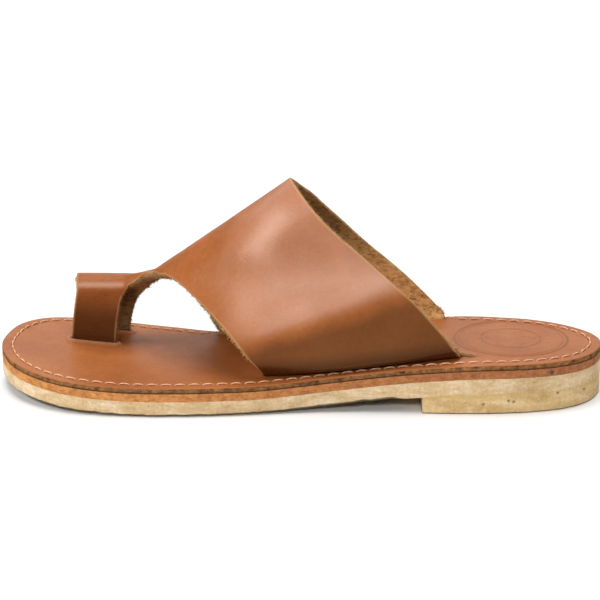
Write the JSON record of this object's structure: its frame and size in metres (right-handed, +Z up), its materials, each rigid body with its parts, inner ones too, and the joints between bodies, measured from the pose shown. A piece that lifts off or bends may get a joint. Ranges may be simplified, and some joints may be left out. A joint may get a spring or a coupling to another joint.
{
  "type": "toe loop sandal",
  "caption": "Flat leather slide for the left foot: one broad instep band runs forward into a big-toe loop, on a stitched leather insole, leather midsole and crepe sole with a low heel.",
  "frame": {"origin": "middle of the sole's outline, on the ground", "axes": "+X towards the heel, -X towards the toes, -Y the little-toe side, +Y the big-toe side, +Z up"},
  "size_m": [0.262, 0.0916, 0.0919],
  "materials": {
    "upper_leather": "smooth waxed grain outside, raw suede inside",
    "insole_leather": "smooth matt grain, raw brown edge",
    "midsole_leather": "raw cut edge",
    "crepe": "matt cream crepe, rough-cut edge",
    "heel_crepe": "matt honey-coloured crepe"
  },
  "bodies": {
    "root": {"upper": "upper_leather", "insole": "insole_leather", "midsole": "midsole_leather", "outsole": "crepe", "heel_lift": "heel_crepe"}
  },
  "joints": []
}
